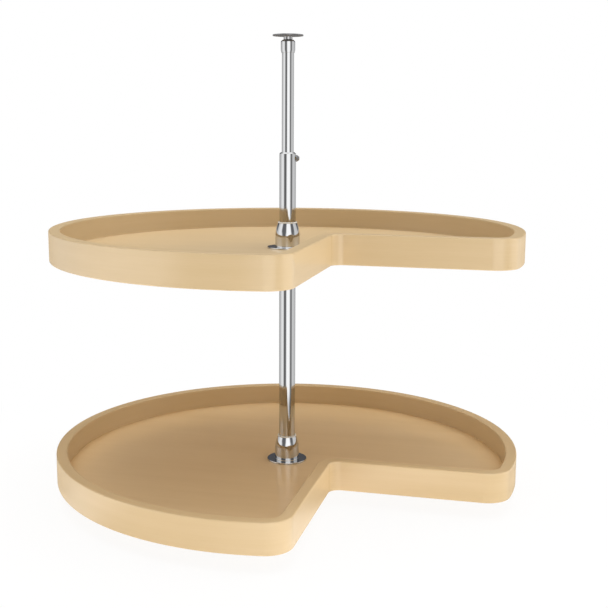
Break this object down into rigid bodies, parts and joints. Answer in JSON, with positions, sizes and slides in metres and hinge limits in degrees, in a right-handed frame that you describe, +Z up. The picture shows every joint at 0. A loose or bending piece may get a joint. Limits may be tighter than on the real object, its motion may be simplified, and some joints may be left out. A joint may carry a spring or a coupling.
{
  "type": "corner cabinet carousel",
  "caption": "Corner cabinet carousel: kidney-shaped rimmed wooden trays that turn on a telescoping chromed mast with a screw lock, floor plate and swivelling top plate.",
  "frame": {"origin": "middle of the floor plate's underside, on the mast's axis", "axes": "+Z up the mast; the trays' notch opens between +X and -Y, with one face along +X and the other along -Y"},
  "size_m": [0.8127, 0.8127, 0.7874],
  "materials": {
    "maple_rim": "satin clear lacquer",
    "maple_panel": "satin clear lacquer",
    "chrome": "polished",
    "zinc_steel": "zinc plated",
    "dark_steel": "satin grey plate",
    "nylon": "moulded",
    "brass": "turned"
  },
  "bodies": {
    "mast": {"floor_plate": "zinc_steel", "floor_spigot": "zinc_steel", "foot_pin": "zinc_steel", "foot_ring": "nylon", "lower_tube": "chrome", "tube_lip": "chrome", "guide_bush": "nylon", "lock_insert": "brass"},
    "upper_mast": {"upper_tube": "chrome", "tube_glide": "nylon", "top_cap": "chrome", "top_bush": "nylon"},
    "top_plate": {"top_plate": "dark_steel", "pivot_stem": "dark_steel", "stem_clip": "zinc_steel"},
    "lock_pad": {"lock_pad": "nylon"},
    "lock_screw": {"lock_screw": "dark_steel"},
    "lower_collar": {"lower_collar": "chrome", "lower_thrust_washer": "nylon"},
    "lower_set_pad": {"lower_set_pad": "nylon"},
    "lower_set_screw": {"lower_set_screw": "zinc_steel"},
    "lower_tray": {"lower_panel": "maple_panel", "lower_rim_bend": "maple_rim", "lower_rim_notch_right": "maple_rim", "lower_rim_notch_front": "maple_rim", "lower_rim_notch_corner": "maple_rim", "lower_hub": "chrome", "lower_hub_bush": "nylon", "lower_backing_plate": "zinc_steel", "lower_flange_screw_1": "zinc_steel", "lower_flange_screw_2": "zinc_steel", "lower_flange_screw_3": "zinc_steel", "lower_flange_screw_4": "zinc_steel"},
    "upper_collar": {"upper_collar": "chrome", "upper_thrust_washer": "nylon"},
    "upper_set_pad": {"upper_set_pad": "nylon"},
    "upper_set_screw": {"upper_set_screw": "zinc_steel"},
    "upper_tray": {"upper_panel": "maple_panel", "upper_rim_bend": "maple_rim", "upper_rim_notch_right": "maple_rim", "upper_rim_notch_front": "maple_rim", "upper_rim_notch_corner": "maple_rim", "upper_hub": "chrome", "upper_hub_bush": "nylon", "upper_backing_plate": "zinc_steel", "upper_flange_screw_1": "zinc_steel", "upper_flange_screw_2": "zinc_steel", "upper_flange_screw_3": "zinc_steel", "upper_flange_screw_4": "zinc_steel"}
  },
  "joints": [
    {"name": "mast_extend", "type": "slide", "parent": "mast", "child": "upper_mast", "axis": [0, 0, 1], "range_m": [-0.127, 0]},
    {"name": "top_plate_turn", "type": "hinge", "parent": "upper_mast", "child": "top_plate", "pos_m": [0, 0, 0.78], "axis": [0, 0, 1], "continuous": true},
    {"name": "lock_pad_travel", "type": "slide", "parent": "mast", "child": "lock_pad", "axis": [0.9659, 0.2588, 0], "range_m": [0, 0.002]},
    {"name": "lock_screw_turn", "type": "hinge", "parent": "lock_pad", "child": "lock_screw", "pos_m": [0.0141, 0.00378, 0.5806], "axis": [0.9659, 0.2588, 0], "range_deg": [0, 900]},
    {"name": "lower_collar_slide", "type": "slide", "parent": "mast", "child": "lower_collar", "axis": [0, 0, 1], "range_m": [0, 0.1]},
    {"name": "lower_tray_turn", "type": "hinge", "parent": "lower_collar", "child": "lower_tray", "pos_m": [0, 0, 0.0284], "axis": [0, 0, 1], "continuous": true},
    {"name": "lower_set_pad_travel", "type": "slide", "parent": "lower_collar", "child": "lower_set_pad", "axis": [0.7071, -0.7071, 0], "range_m": [0, 0.0015]},
    {"name": "lower_set_screw_turn", "type": "hinge", "parent": "lower_set_pad", "child": "lower_set_screw", "pos_m": [0.01344, -0.01344, 0.0179], "axis": [0.7071, -0.7071, 0], "range_deg": [0, 540]},
    {"name": "upper_collar_slide", "type": "slide", "parent": "mast", "child": "upper_collar", "axis": [0, 0, 1], "range_m": [-0.13, 0.09]},
    {"name": "upper_tray_turn", "type": "hinge", "parent": "upper_collar", "child": "upper_tray", "pos_m": [0, 0, 0.4127], "axis": [0, 0, 1], "continuous": true},
    {"name": "upper_set_pad_travel", "type": "slide", "parent": "upper_collar", "child": "upper_set_pad", "axis": [0.7071, -0.7071, 0], "range_m": [0, 0.0015]},
    {"name": "upper_set_screw_turn", "type": "hinge", "parent": "upper_set_pad", "child": "upper_set_screw", "pos_m": [0.01344, -0.01344, 0.4022], "axis": [0.7071, -0.7071, 0], "range_deg": [0, 540]}
  ],
  "couplings": [
    {"joint": "lock_screw_turn", "follows": "lock_pad_travel", "rad_per_m": 7853.9},
    {"joint": "lower_set_screw_turn", "follows": "lower_set_pad_travel", "rad_per_m": 6283.1},
    {"joint": "upper_set_screw_turn", "follows": "upper_set_pad_travel", "rad_per_m": 6283.1}
  ]
}
